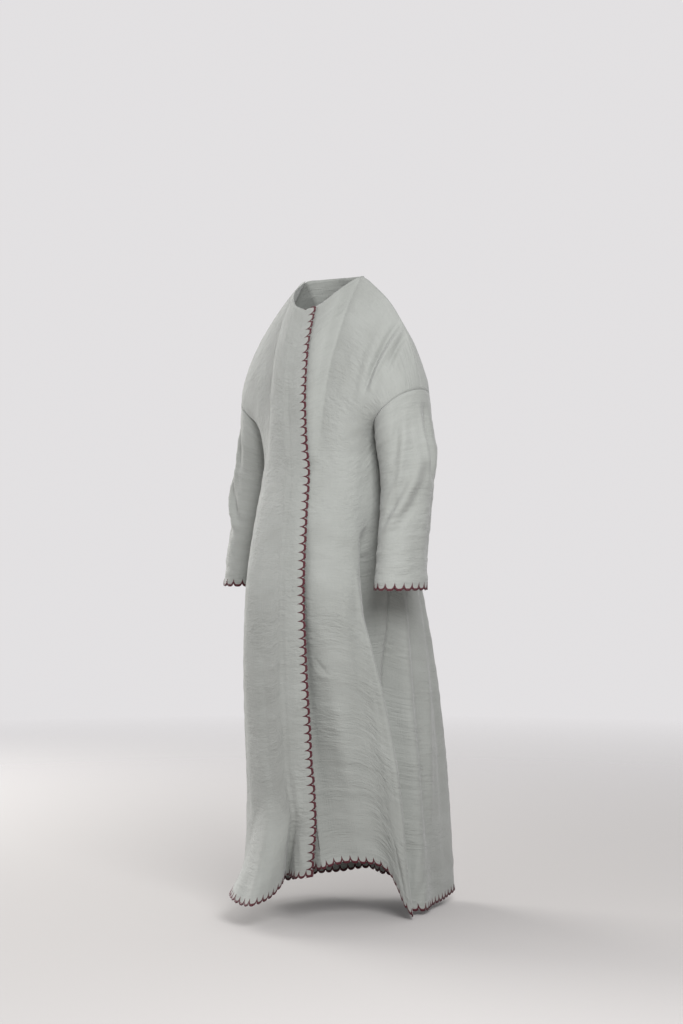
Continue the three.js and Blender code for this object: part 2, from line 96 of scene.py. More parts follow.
def soft_light(name, place, target, size, watts, colour):
    lamp = bpy.data.lights.new(name, "AREA")
    lamp.shape = "RECTANGLE"
    lamp.size, lamp.size_y = size
    lamp.energy = watts
    lamp.color = colour
    light = bpy.data.objects.new(name, lamp)
    light.location = place
    light.rotation_mode = "QUATERNION"
    light.rotation_quaternion = (Vector(target) - Vector(place)).to_track_quat("-Z", "Y")
    scene.collection.objects.link(light)


soft_light("left_wash", (-3.6, 0.3, 0.3), (0, 0, -0.9), (2.4, 2.4), 140, (1.0, 0.99, 0.97))
soft_light("right_key", (2.05, -1.5, 0.6), (0.1, 0, -0.8), (1.2, 1.2), 82, (0.99, 0.99, 1.0))

camera_data = bpy.data.cameras.new("camera")
camera_data.lens = 75
camera_data.sensor_width = 36
camera = bpy.data.objects.new("camera", camera_data)
camera.location = (
    CAMERA_DISTANCE * math.sin(CAMERA_AZIMUTH) + CAMERA_ASIDE * math.cos(CAMERA_AZIMUTH),
    -CAMERA_DISTANCE * math.cos(CAMERA_AZIMUTH) + CAMERA_ASIDE * math.sin(CAMERA_AZIMUTH),
    CAMERA_Z,
)
camera.rotation_euler = (math.radians(90), 0, CAMERA_AZIMUTH)
scene.collection.objects.link(camera)
scene.camera = camera

# BACK
# One piece of pale grey-blue crinkled linen-crepe from the neck to the hem, with the
# back halves of both dropped shoulders, hung from the shoulders and trailing behind
# the stride. Its hem is cut into scallops.
MM = 0.001
UNDERARM_Z = -354
CHEST_ROW_DROP = 75
CHEST_ROW_REACH = 0.45
HIP_Z = -710
UNDERARM_SIDE_ANGLE = 92
HIP_SIDE_ANGLE = 93
THROAT_Z = -75
BODY_CENTRE_Y = 5
SHOULDER_LINE_Y = 12
SCALLOP_PITCH = 19
SCALLOP_DEPTH = 8
SCALLOP_FADE = 24
CLOTH_THICKNESS = 1.2
CHEST_CUT_LENGTH = 400
SKIRT_CUT_LENGTH = 980


def table(names, rows):
    """Columns by name from a short table of rows."""
    return dict(zip(names.split(), np.array(rows, float).T))


LEVELS = table("z side front back shift power", [
    (0, 140, 120, 110, 0, 2.2),
    (-354, 146, 140, 120, 0, 2.2),
    (-450, 150, 150, 130, 0, 2.3),
    (-560, 156, 178, 168, 0, 2.4),
    (-710, 163, 206, 198, 0, 2.5),
    (-900, 174, 204, 226, -3, 2.4),
    (-1150, 187, 186, 240, -3, 2.2),
    (-1450, 201, 172, 225, -2, 2.1),
])
BACK_HEM = table("angle x y up rise bow", [
    (104, 167, 88, 9, 680, 0.9),
    (113, 184, 120, 7, 800, 0.9),
    (124, 160, 176, 9, 820, 0.85),
    (135, 146, 240, 13, 840, 0.8),
    (148, 114, 318, 24, 850, 0.75),
    (160, 62, 262, 34, 800, 0.9),
    (176, 16, 292, 42, 760, 1),
    (190, -34, 238, 52, 700, 1.1),
    (208, -88, 244, 60, 700, 1.1),
    (224, -122, 184, 56, 650, 1.1),
    (240, -184, 158, 46, 600, 1.1),
    (256, -203, 95, 38, 600, 1.1),
])
SKIRT_FOLDS = [
    dict(start=-520, stop=-1100, start_angle=78, stop_angle=97, height=-30, width=9),
    dict(start=-800, stop=-1440, start_angle=93, stop_angle=93, height=-40, width=9),
    dict(start=-560, stop=-1440, start_angle=66, stop_angle=79, height=9, width=8),
]
FRONT_TOP = table("along x y z", [
    (0, 0, -78, -78),
    (0.12, 38, -71, -62),
    (0.23, 67, -40, -28),
    (0.31, 80, 12, 0),
    (0.5, 128, 12, -28),
    (0.66, 176, 12, -74),
    (0.8, 220, 12, -142),
    (0.92, 245, 12, -212),
    (1, 254, 12, -262),
])
BACK_TOP = table("along x y z", [
    (0, 0, 66, 8),
    (0.12, 36, 62, 8),
    (0.23, 66, 42, 5),
    (0.31, 80, 12, 0),
    (0.5, 128, 12, -28),
    (0.66, 176, 12, -74),
    (0.8, 220, 12, -142),
    (0.92, 245, 12, -212),
    (1, 254, 12, -262),
])
FRONT_CENTRE = table("along y z", [
    (0, -78, -78), (0.25, -112, -160), (0.5, -130, -250), (0.75, -138, -340), (1, -142.4, -429),
])
BACK_CENTRE = table("along y z", [
    (0, 66, 8), (0.25, 108, -90), (0.5, 125, -205), (0.75, 129, -320), (1, 132.8, -429),
])
SLEEVE_SECTIONS = table("along x y z across front back lean", [
    (0, 200, 12, -308, 54, 74, 74, 46),
    (0.13, 206, 12, -358, 55, 74, 76, 34),
    (0.3, 214, 14, -424, 56, 72, 76, 20),
    (0.45, 221, 8, -486, 55, 71, 71, 12),
    (0.62, 224, -3, -556, 53, 70, 72, 7),
    (0.82, 225, -16, -638, 51, 70, 71, 3),
    (1, 226, -26, -707, 51, 70, 70, 0),
])
SLEEVE_FOLDS = [
    dict(start=0.16, stop=0.66, start_angle=-25, stop_angle=60, height=6, width=22),
    dict(start=0.3, stop=0.8, start_angle=-10, stop_angle=75, height=-5, width=20),
    dict(start=0.1, stop=0.5, start_angle=-95, stop_angle=-120, height=8, width=30),
    dict(start=0.45, stop=1, start_angle=20, stop_angle=5, height=-4, width=20),
]


def smooth(t):
    """An even step from 0 to 1."""
    t = np.clip(t, 0, 1)
    return t * t * (3 - 2 * t)


def curve(rows, key, column, at):
    """Reads a table's column at any place of its key column, along a smooth line."""
    x, y = rows[key], rows[column]
    if x[0] > x[-1]:
        x, y = x[::-1], y[::-1]
    slope = np.zeros_like(y)
    slope[1:-1] = (y[2:] - y[:-2]) / (x[2:] - x[:-2])
    slope[0] = (y[1] - y[0]) / (x[1] - x[0])
    slope[-1] = (y[-1] - y[-2]) / (x[-1] - x[-2])
    i = np.clip(np.searchsorted(x, at) - 1, 0, len(x) - 2)
    span = x[i + 1] - x[i]
    t = np.clip((at - x[i]) / span, 0, 1)
    return (
        y[i] * (2 * t**3 - 3 * t**2 + 1)
        + y[i + 1] * (3 * t**2 - 2 * t**3)
        + slope[i] * span * (t**3 - 2 * t**2 + t)
        + slope[i + 1] * span * (t**3 - t**2)
    )


def signed_power(value, power):
    return np.sign(value) * np.abs(value) ** power


def side_angle(z):
    """Where the side seam stands round the body, in degrees from the front."""
    t = smooth((UNDERARM_Z - z) / (UNDERARM_Z - HIP_Z))
    return UNDERARM_SIDE_ANGLE + (HIP_SIDE_ANGLE - UNDERARM_SIDE_ANGLE) * t


def body_section(z, angle):
    """A point of the plain body, a rounded section worked out from its reaches."""
    power = 2 / curve(LEVELS, "z", "power", z)
    across = signed_power(np.sin(np.radians(angle)), power)
    ahead = signed_power(np.cos(np.radians(angle)), power)
    front, back = curve(LEVELS, "z", "front", z), curve(LEVELS, "z", "back", z)
    x = curve(LEVELS, "z", "shift", z) + curve(LEVELS, "z", "side", z) * across
    return np.stack([x, BODY_CENTRE_Y - np.where(ahead > 0, front, back) * ahead, z + 0 * x], -1)


def chest_row_z(c):
    """Height of the row between chest and skirt, at c from -1 to 1 between the sides."""
    return UNDERARM_Z - CHEST_ROW_DROP * np.sin(
        np.pi / 2 * np.clip((1 - np.abs(c)) / CHEST_ROW_REACH, 0, 1)
    )


def sleeve_section(place, angle):
    """A point of the left sleeve's plain form, place from 0 at its seam to 1 at the cuff."""
    turn = np.radians(angle)
    read = {n: curve(SLEEVE_SECTIONS, "along", n, place) for n in SLEEVE_SECTIONS if n != "along"}
    reach = np.ones_like(turn + place)
    for fold in SLEEVE_FOLDS:
        t = (place - fold["start"]) / (fold["stop"] - fold["start"])
        centre = fold["start_angle"] + (fold["stop_angle"] - fold["start_angle"]) * t
        away = (angle - centre + 540) % 360 - 180
        shape = np.sin(np.pi * np.clip(t, 0, 1)) * np.exp(-((away / fold["width"]) ** 2))
        reach = reach + fold["height"] / 60 * shape
    depth = np.where(np.sin(turn) > 0, read["front"], read["back"])
    return np.stack([
        read["x"] + read["across"] * reach * np.cos(turn),
        read["y"] - depth * reach * np.sin(turn),
        read["z"] + read["lean"] * np.cos(turn) + 0 * reach,
    ], -1)


def chest_patch(is_front, c, r):
    """A point of the chest or upper back, blended between the shoulder line, the centre
    line, the armhole and the row below: c is across from -1 to 1, r down from 0 to 1."""
    top, centre = (FRONT_TOP, FRONT_CENTRE) if is_front else (BACK_TOP, BACK_CENTRE)
    limit = np.minimum if is_front else np.maximum
    a, r = np.abs(c)[..., None], r[..., None]

    def top_at(t):
        y = limit(SHOULDER_LINE_Y, curve(top, "along", "y", t))
        return np.stack([curve(top, "along", "x", t), y, curve(top, "along", "z", t)], -1)

    def centre_at(t):
        return np.stack([0 * t, curve(centre, "along", "y", t), curve(centre, "along", "z", t)], -1)

    def row_at(t):
        angle = UNDERARM_SIDE_ANGLE * t if is_front else 180 - (180 - UNDERARM_SIDE_ANGLE) * t
        return body_section(chest_row_z(t), angle)

    zero, one = np.zeros(1), np.ones(1)
    point = (1 - r) * top_at(a[..., 0]) + r * row_at(a[..., 0])
    point += (1 - a) * centre_at(r[..., 0])
    point += a * sleeve_section(0 * r[..., 0], (180 if is_front else -180) * r[..., 0])
    point -= (1 - a) * ((1 - r) * top_at(zero) + r * row_at(zero))
    point -= a * ((1 - r) * top_at(one) + r * row_at(one))
    point[..., 0] *= np.where(c < 0, -1, 1)
    return point


def hem_places(hem):
    """Adds each hem row's share of the hem's length, and its height."""
    steps = np.sqrt(np.diff(hem["x"]) ** 2 + np.diff(hem["y"]) ** 2 + np.diff(hem["up"]) ** 2)
    hem["place"] = np.concatenate([[0], np.cumsum(steps)]) / steps.sum()
    hem["z"] = hem["up"] + FLOOR_Z / MM


def panel_form(panel, s, v):
    """Plain form of a body panel in millimetres: s runs along the hem, v from 0 at the
    top, 1 at the chest row, to 2 at the hem."""
    hem, edge, is_front = panel["hem"], panel.get("edge"), panel["is_front"]
    first, last = hem["angle"][0], hem["angle"][-1]

    def angle_at(z):
        share = (curve(hem, "place", "angle", s) - first) / (last - first)
        start = curve(edge, "z", "angle", z) if is_front else side_angle(z)
        stop = np.sign(last) * side_angle(z) if is_front else 360 - side_angle(z)
        return start + (stop - start) * share

    def chest_place(angle):
        if is_front:
            return angle / UNDERARM_SIDE_ANGLE
        return (180 - angle) / (180 - UNDERARM_SIDE_ANGLE)

    level = np.zeros_like(s)
    row_c = chest_place(angle_at(level + UNDERARM_Z - CHEST_ROW_DROP))
    top_c = chest_place(angle_at(level + THROAT_Z))
    side_c = chest_place(angle_at(level + UNDERARM_Z))
    c = side_c
    if is_front:
        c = top_c + (row_c + (side_c - row_c) * np.abs(side_c) ** 4 - top_c) * np.clip(v, 0, 1)
    c = np.clip(c, -1, 1)
    upper = chest_patch(is_front, c, np.clip(v, 0, 1))

    start_z = chest_row_z(side_c)
    hem_z = curve(hem, "place", "z", s)
    z = start_z + (hem_z - start_z) * np.clip(v - 1, 0, 1.1)
    angle = angle_at(z)
    lower = body_section(z, angle)
    rise = curve(hem, "place", "rise", s)
    grown = np.clip((hem_z + rise - z) / rise, 0, 1.1) ** curve(hem, "place", "bow", s)
    plain = body_section(hem_z, angle_at(hem_z))
    lower[..., 0] += grown * (curve(hem, "place", "x", s) - plain[..., 0])
    lower[..., 1] += grown * (curve(hem, "place", "y", s) - plain[..., 1])

    for fold in SKIRT_FOLDS:
        t = (z - fold["start"]) / (fold["stop"] - fold["start"])
        away = angle - fold["start_angle"] - (fold["stop_angle"] - fold["start_angle"]) * t
        stand = fold["height"] * np.sin(np.pi * np.clip(t, 0, 1)) * np.exp(-((away / fold["width"]) ** 2))
        lower[..., 0] += stand * np.sin(np.radians(angle))
        lower[..., 1] -= stand * np.cos(np.radians(angle))

    point = np.where((v < 1)[..., None], upper, lower)
    angle = np.where(v < 1, c * UNDERARM_SIDE_ANGLE, angle)
    lift = panel.get("lift", 0) * smooth((angle + 45) / 25)
    point[..., 0] += lift * np.sin(np.radians(angle))
    point[..., 1] -= lift * np.cos(np.radians(angle))
    return point


def wander(x, y, size_x, size_y, seed):
    """Soft uneven waves from -1 to 1, size_x by size_y millimetres across."""
    cells = np.random.RandomState(seed).uniform(-1, 1, (64, 64))
    gx, gy = np.asarray(x) / size_x, np.asarray(y) / size_y
    ix, iy = np.floor(gx).astype(int), np.floor(gy).astype(int)
    tx, ty = smooth(gx - ix), smooth(gy - iy)
    low = cells[ix % 64, iy % 64] * (1 - tx) + cells[(ix + 1) % 64, iy % 64] * tx
    high = cells[ix % 64, (iy + 1) % 64] * (1 - tx) + cells[(ix + 1) % 64, (iy + 1) % 64] * tx
    return low * (1 - ty) + high * ty


def down_mm(v):
    """Millimetres down the cut, for v from 0 at the top and 1 at the chest row to 2."""
    return np.where(v < 1, CHEST_CUT_LENGTH * v, CHEST_CUT_LENGTH + SKIRT_CUT_LENGTH * (v - 1))


def crease(x, y, ends, bow, height, width):
    """A soft ridge, or a trough where height is below 0, from one end to the other of a
    line over the cut, bowed sideways and highest in the middle."""
    (x0, y0), (x1, y1) = ends
    length = math.hypot(x1 - x0, y1 - y0)
    ux, uy = (x1 - x0) / length, (y1 - y0) / length
    t = ((x - x0) * ux + (y - y0) * uy) / length
    off = (x - x0) * -uy + (y - y0) * ux - bow * 4 * t * (1 - t)
    body = np.clip(np.sin(np.pi * np.clip(t, 0, 1)), 0, 1) ** 0.7
    return height * body * np.exp(-((off / width) ** 2))


def panel_relief(panel, s, v):
    """How far the worn cloth stands off its plain form, in millimetres."""
    x, y = s * panel["width"], down_mm(v)
    high = panel.get("crinkle", 0.45) * wander(x + 0.3 * y, y - 0.1 * x, 50, 16, panel["seed"])
    high = high + 0.5 * wander(x + 0.5 * y, y - 0.2 * x, 70, 26, panel["seed"] + 1)
    high = high + 1.2 * wander(x, y, 60, 240, panel["seed"] + 2)
    for ends, bow, height, width in panel["creases"]:
        high = high + crease(x, y, ends, bow, height, width)
    seam = np.minimum(s, 1 - s) if not panel["is_front"] else 1 - s
    high = high * smooth(seam * panel["width"] / 22) - 0.5 * np.exp(-((seam * panel["width"] / 4) ** 2))
    if panel["is_front"]:
        high = high * (0.4 + 0.6 * smooth(s * panel["width"] / 20))
    for stitch in panel.get("stitch_lines", []):
        high = high - 0.9 * np.exp(-(((x - stitch) / 3.0) ** 2))
        high = high + 0.5 * np.exp(-(((x - stitch + 6) / 5.0) ** 2))
    return high


def panel_point(panel, s, v, out=0.0):
    """A point of the worn cloth, or off it by out millimetres, in metres. A panel's turn
    is 1 where s runs with the angle round the body, and -1 where it runs against it."""
    s, v = np.broadcast_arrays(np.asarray(s, float), np.asarray(v, float))
    step = 0.002
    over = np.where(s > 0.5, -step, step)
    drop = np.where((v > 1.5) | ((v < 1) & (v > 0.5)), -step, step)
    base = panel_form(panel, s, v)
    side = (panel_form(panel, s + over, v) - base) / over[..., None]
    down = (panel_form(panel, s, v + drop) - base) / drop[..., None]
    normal = np.cross(down, side) * panel["turn"]
    normal /= np.linalg.norm(normal, axis=-1, keepdims=True) + 1e-9
    return (base + normal * (panel_relief(panel, s, v) + out)[..., None]) * MM


def even_places(line):
    """Turns shares of a line's length into places along it."""
    places = np.linspace(0, 1, 801)
    points = line(places)
    lengths = np.concatenate([[0], np.cumsum(np.linalg.norm(np.diff(points, axis=0), axis=1))])
    return lengths[-1], lambda share: np.interp(share, lengths / lengths[-1], places)


def scallop_inset(phase):
    """How far the outline of a half-round scallop stands in from its crest."""
    across = 2 * (phase % 1) - 1
    return SCALLOP_DEPTH * (1 - np.sqrt(np.clip(1 - across**2, 0, 1)))


def measure_panel(panel):
    """Lengths along the hem and edge, and how many scallops fit them."""
    hem_places(panel["hem"])
    top = 0 * np.linspace(0, 1, 801)
    guide = 0 if panel["is_front"] else 0.5
    panel["hem_length"], panel["hem_place"] = even_places(lambda t: panel_form(panel, t, top + 2))
    panel["edge_length"], panel["edge_place"] = even_places(
        lambda t: panel_form(panel, top + guide, 2 * t)
    )
    panel["hem_scallops"] = round(panel["hem_length"] / SCALLOP_PITCH)
    panel["edge_scallops"] = round(panel["edge_length"] / SCALLOP_PITCH)


def edge_width(panel, v):
    """Millimetres across the cloth for each unit of s at the front edge."""
    near = panel_form(panel, 0 * v + 0.01, v) - panel_form(panel, 0 * v, v)
    return np.linalg.norm(near, axis=-1) / 0.01


def hem_height(panel, s):
    """Millimetres down the cloth for each unit of v at the hem."""
    near = panel_form(panel, s, 0 * s + 1.99) - panel_form(panel, s, 0 * s + 2)
    return np.linalg.norm(near, axis=-1) / 0.01


def flat_grid(columns, rows, fine_sides, cuts):
    """A flat unit sheet, its outlines on the fine sides cut finer for the scallops."""
    bm = bmesh.new()
    bmesh.ops.create_grid(bm, x_segments=columns, y_segments=rows, size=0.5)
    bmesh.ops.translate(bm, verts=bm.verts, vec=(0.5, 0.5, 0))
    fine = []
    for axis, side in fine_sides:
        fine += [e for e in bm.edges if all(abs(p.co[axis] - side) < 1e-5 for p in e.verts)]
    if fine:
        bmesh.ops.subdivide_edges(bm, edges=fine, cuts=cuts)
    return bm


def cloth_object(name, bm, points_of, area_length, merge=False):
    """Moves a flat sheet onto its worn form and gives it a UV map in metres."""
    mesh = bpy.data.meshes.new(name)
    bm.to_mesh(mesh)
    bm.free()
    flat = np.empty(len(mesh.vertices) * 3, np.float32)
    mesh.vertices.foreach_get("co", flat)
    flat = flat.reshape(-1, 3).astype(float)
    corner = np.empty(len(mesh.loops), np.int32)
    mesh.loops.foreach_get("vertex_index", corner)
    uv = mesh.uv_layers.new(name="cut")
    uv.data.foreach_set("uv", (flat[corner][:, :2] * np.array(area_length)).astype(np.float32).ravel())
    mesh.vertices.foreach_set("co", points_of(flat[:, 0], flat[:, 1]).astype(np.float32).ravel())
    mesh.update()
    if merge:
        bm = bmesh.new()
        bm.from_mesh(mesh)
        bmesh.ops.remove_doubles(bm, verts=bm.verts, dist=0.00002)
        bm.to_mesh(mesh)
        bm.free()
    mesh.shade_smooth()
    piece = bpy.data.objects.new(name, mesh)
    scene.collection.objects.link(piece)
    return piece


def finish_cloth(piece, node):
    """Gives a piece of cloth its thickness and material, in place of the plain solid."""
    shell = piece.modifiers.new("thickness", "SOLIDIFY")
    shell.thickness = CLOTH_THICKNESS * MM
    shell.offset = -1
    piece.data.materials.append(crepe)
    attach(piece, "root")
    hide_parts(node)


def panel_cloth(panel, columns, rows):
    """A body panel, its outline cut in scallops that fade out inside SCALLOP_FADE."""
    measure_panel(panel)
    fine = [(1, 1.0)] + ([(0, 0.0)] if panel["is_front"] else [])
    bm = flat_grid(columns, rows, fine, 1)

    def points(a, b):
        s, v = panel["hem_place"](a), 2 * panel["edge_place"](b)
        height = hem_height(panel, s)
        rounded = 1.0
        if panel["is_front"]:
            width = edge_width(panel, v)
            rounded = smooth(a * panel["hem_scallops"] / 0.8)
            inset = scallop_inset(b * panel["edge_scallops"]) * smooth((1 - b) * panel["edge_scallops"] / 0.8)
            s_new = s + inset / width * np.clip(1 - s * width / SCALLOP_FADE, 0, 1)
        else:
            s_new = s
        inset = scallop_inset(a * panel["hem_scallops"]) * rounded
        v = v - inset / height * np.clip(1 - (2 - v) * height / SCALLOP_FADE, 0, 1)
        return panel_point(panel, s_new, v)

    piece = cloth_object(
        panel["name"] + "_cloth", bm, points, (panel["hem_length"] * MM, panel["edge_length"] * MM)
    )
    if panel["turn"] > 0:
        piece.data.flip_normals()
    finish_cloth(piece, panel["name"])
    return piece


crinkle = bpy.data.node_groups.new("crinkle", "ShaderNodeTree")
for name, kind, default in (
    ("Cut", "NodeSocketVector", None),
    ("Ripple Height", "NodeSocketFloat", 1.0),
    ("Slub Height", "NodeSocketFloat", 0.16),
):
    socket = crinkle.interface.new_socket(name, in_out="INPUT", socket_type=kind)
    if default is not None:
        socket.default_value = default
for name in ("Height", "Tone"):
    crinkle.interface.new_socket(name, in_out="OUTPUT", socket_type="NodeSocketFloat")
nodes, links = crinkle.nodes, crinkle.links
inside = nodes.new("NodeGroupInput")
outside = nodes.new("NodeGroupOutput")


def noise(scale, detail, kind="FBM", rough=0.55):
    """A noise over the cloth's own cut, scale in waves per metre across and down."""
    stretch = nodes.new("ShaderNodeMapping")
    stretch.inputs["Scale"].default_value = (*scale, 1)
    made = nodes.new("ShaderNodeTexNoise")
    made.noise_type = kind
    made.inputs["Scale"].default_value = 1
    made.inputs["Detail"].default_value = detail
    made.inputs["Roughness"].default_value = rough
    links.new(inside.outputs["Cut"], stretch.inputs["Vector"])
    links.new(stretch.outputs["Vector"], made.inputs["Vector"])
    return made.outputs["Fac"]


def combine(operation, a, b):
    """One sum or product of two values or sockets."""
    made = nodes.new("ShaderNodeMath")
    made.operation = operation
    for socket, value in zip(made.inputs, (a, b)):
        if isinstance(value, (int, float)):
            socket.default_value = value
        else:
            links.new(value, socket)
    return made.outputs[0]


ripples = noise((30, 110), 3, "FBM", 0.62)
cracks = noise((30, 170), 2, "RIDGED_MULTIFRACTAL", 0.5)
slubs_across = noise((14, 900), 2)
slubs_down = noise((900, 18), 2)
patches = noise((5, 9), 2)
where = noise((7, 12), 1)
amount = combine("MULTIPLY", combine("SUBTRACT", where, 0.28), 2.6)
rippled = combine("MULTIPLY", combine("MULTIPLY", ripples, amount), inside.outputs["Ripple Height"])
cracked = combine("MULTIPLY", combine("MULTIPLY", cracks, 0.16), amount)
slubbed = combine("MULTIPLY", combine("ADD", slubs_across, slubs_down), inside.outputs["Slub Height"])
height = combine("ADD", combine("ADD", rippled, cracked), slubbed)
tone = combine("ADD", combine("MULTIPLY", patches, 0.6), combine("MULTIPLY", slubs_across, 0.4))
links.new(height, outside.inputs["Height"])
links.new(tone, outside.inputs["Tone"])

crepe = bpy.data.materials.new("linen_crepe")
crepe.use_nodes = True
nodes, links = crepe.node_tree.nodes, crepe.node_tree.links
cloth = nodes["Principled BSDF"]
cloth.inputs["Roughness"].default_value = 0.82
cloth.inputs["Specular IOR Level"].default_value = 0.35
cloth.inputs["Sheen Weight"].default_value = 0.25
cloth.inputs["Sheen Roughness"].default_value = 0.45
cut = nodes.new("ShaderNodeUVMap")
cut.uv_map = "cut"
weave = nodes.new("ShaderNodeGroup")
weave.node_tree = crinkle
tint = nodes.new("ShaderNodeValToRGB")
tint.color_ramp.elements[0].position = 0.3
tint.color_ramp.elements[0].color = (0.250, 0.259, 0.241, 1)
tint.color_ramp.elements[1].position = 0.7
tint.color_ramp.elements[1].color = (0.303, 0.314, 0.296, 1)
bump = nodes.new("ShaderNodeBump")
bump.inputs["Strength"].default_value = 1.0
bump.inputs["Distance"].default_value = 0.0042
links.new(cut.outputs["UV"], weave.inputs["Cut"])
links.new(weave.outputs["Tone"], tint.inputs["Fac"])
links.new(tint.outputs["Color"], cloth.inputs["Base Color"])
links.new(weave.outputs["Height"], bump.inputs["Height"])
links.new(bump.outputs["Normal"], cloth.inputs["Normal"])

back = dict(
    name="back",
    crinkle=0.9,
    is_front=False,
    hem=BACK_HEM,
    turn=1,
    width=960,
    seed=11,
    # each crease is a line over the cut in millimetres, then its bow, height and width
    creases=[
        (((26, 640), (60, 1200)), -4, 8, 17),
        (((76, 600), (108, 1290)), -6, -12, 30),
        (((200, 740), (130, 1290)), 8, 7, 24),
        (((2, 1376), (30, 1240)), 0, -3, 6),
        (((4, 1377), (60, 1225)), 0, 3, 8),
        (((6, 1378), (100, 1262)), 2, -3, 8),
        (((0, 1372), (14, 1225)), 0, 3, 6),
        (((250, 520), (215, 1330)), -15, -5, 26),
        (((430, 450), (455, 1340)), 12, 6, 26),
        (((610, 500), (640, 1330)), -8, -5, 24),
        (((790, 420), (800, 1320)), 10, 5, 24),
    ],
)
back_cloth = panel_cloth(back, 156, 220)

# RIGHT FRONT
# The wearer's right front, the same crepe, lapped over the left front. Its front edge
# and hem are scalloped, and a line of stitching runs down inside the edge.
RIGHT_FRONT_HEM = table("angle x y up rise bow", [
    (25, 80, -152, 110, 220, 1.1),
    (16, 40, -163, 102, 180, 1.1),
    (4, -12, -134, 100, 150, 1),
    (1, 8, -170, 85, 160, 1),
    (-3, 9, -200, 66, 190, 1.1),
    (-8, 11, -232, 58, 215, 1.3),
    (-14, 5, -268, 52, 225, 1.4),
    (-20, -28, -264, 50, 220, 1.6),
    (-27, -62, -255, 56, 180, 1.7),
    (-42, -120, -200, 60, 120, 1.7),
    (-60, -162, -112, 58, 200, 1.2),
    (-80, -216, -12, 46, 500, 1.2),
    (-104, -203, 95, 38, 600, 1.1),
])
RIGHT_EDGE_LINE = table("z angle", [
    (-75, 8), (-430, 20), (-710, 26.5), (-1000, 28.6), (-1100, 28.6), (-1170, 31.2),
    (-1230, 33.4), (-1450, 35),
])
front_right = dict(
    name="front_right",
    is_front=True,
    hem=RIGHT_FRONT_HEM,
    edge=RIGHT_EDGE_LINE,
    lift=6,
    turn=-1,
    width=560,
    seed=23,
    stitch_lines=[70],
    # each crease is a line over the cut in millimetres, then its bow, height and width
    creases=[
        (((66, 1205), (66, 1376)), -2, -3, 8),
        (((52, 1110), (58, 1245)), 0, 3, 8),
        (((12, 1374), (50, 1265)), 0, 1.8, 5),
        (((30, 1377), (60, 1300)), 2, 1.8, 4),
        (((5, 1362), (22, 1285)), 0, -1.6, 5),
        (((178, 700), (176, 1330)), 6, -5, 26),
        (((330, 640), (300, 1300)), -8, -4, 26),
        (((430, 560), (440, 1300)), 8, 4, 26),
    ],
)
front_right_cloth = panel_cloth(front_right, 148, 288)

# LEFT FRONT
# The wearer's left front, the same crepe, under the right at the centre. Its wide
# flute falls from the hip to the floor beside the back foot.
LEFT_FRONT_HEM = table("angle x y up rise bow", [
    (-12, -40, -90, 120, 760, 1.2),
    (2, 12, -102, 118, 760, 1.2),
    (14, 54, -113, 116, 760, 1.2),
    (20, 71, -110, 117, 700, 1.2),
    (28, 80, -80, 124, 640, 1.2),
    (36, 97, -52, 128, 640, 1.2),
    (44, 118, -28, 126, 640, 1.2),
    (54, 136, 6, 119, 640, 1.1),
    (62, 157, 20, 102, 640, 1),
    (71, 176, 27, 68, 640, 0.9),
    (79, 190, 34, 30, 660, 0.9),
    (86, 203, 47, 7, 680, 0.9),
    (95, 187, 68, 7, 680, 0.9),
    (104, 167, 88, 9, 680, 0.9),
])
LEFT_EDGE_LINE = table("z angle", [(-75, -6), (-430, -10), (-710, -12), (-1450, -12)])
front_left = dict(
    name="front_left",
    crinkle=0.55,
    is_front=True,
    hem=LEFT_FRONT_HEM,
    edge=LEFT_EDGE_LINE,
    turn=1,
    width=430,
    seed=37,
    # each crease is a line over the cut in millimetres, then its bow, height and width
    creases=[
        (((106, 520), (114, 1400)), 0, -26, 55),
        (((306, 600), (206, 1210)), 10, 11, 36),
        (((298, 20), (312, 240)), 6, 4, 17),
        (((326, 2), (338, 215)), 5, -12, 9),
        (((341, 2), (360, 200)), 6, 8, 9),
        (((354, 3), (378, 130)), 3, -9, 7),
        (((372, 34), (398, 205)), 5, 3.5, 13),
        (((325, 640), (378, 1250)), -17, 10, 10),
        (((366, 560), (413, 1030)), -9, -36, 16),
        (((384, 620), (402, 900)), -4, -18, 14),
        (((402, 880), (406, 1270)), 0, -14, 13),
        (((158, 862), (200, 912)), 2, -2.4, 4),
        (((148, 880), (186, 926)), 2, 1.6, 4),
        (((168, 1082), (352, 1040)), 22, 0.6, 6),
        (((150, 1128), (360, 1075)), 30, -0.9, 6),
        (((190, 1150), (362, 1098)), 26, 0.6, 5),
        (((140, 1190), (365, 1115)), 40, 0.9, 6),
        (((176, 1216), (340, 1160)), 30, -0.6, 5),
        (((150, 1250), (362, 1160)), 45, -0.9, 6),
        (((205, 1282), (350, 1215)), 26, 0.7, 5),
        (((362, 1372), (330, 1240)), 0, -3, 8),
        (((366, 1374), (352, 1230)), 0, 2.5, 6),
    ],
)
front_left_cloth = panel_cloth(front_left, 92, 288)

# SLEEVES
# Straight wide sleeves of the same crepe, set on a dropped armhole seam on the upper
# arm, each with a soft diagonal fold at the elbow and a scalloped cuff.
CUFF_SCALLOPS = 18
SLEEVE_CUT_ROUND = 400
SLEEVE_CUT_LENGTH = 430


def sleeve_relief(side, place, angle):
    """How far the worn sleeve stands off its plain form, in millimetres."""
    x, y = angle / 360 * SLEEVE_CUT_ROUND, place * SLEEVE_CUT_LENGTH
    high = 1.1 * wander(x, y, 44, 12, 51 + side)
    high = high + 0.7 * wander(x + 0.4 * y, y - 0.2 * x, 40, 22, 53 + side)
    for ends, bow, height, width in SLEEVE_CREASES:
        for turn in (-SLEEVE_CUT_ROUND, 0, SLEEVE_CUT_ROUND):
            high = high + crease(x + turn, y, ends, bow, height, width)
    return high * smooth(y / 20) - 0.1 * np.exp(-((y / 4) ** 2))


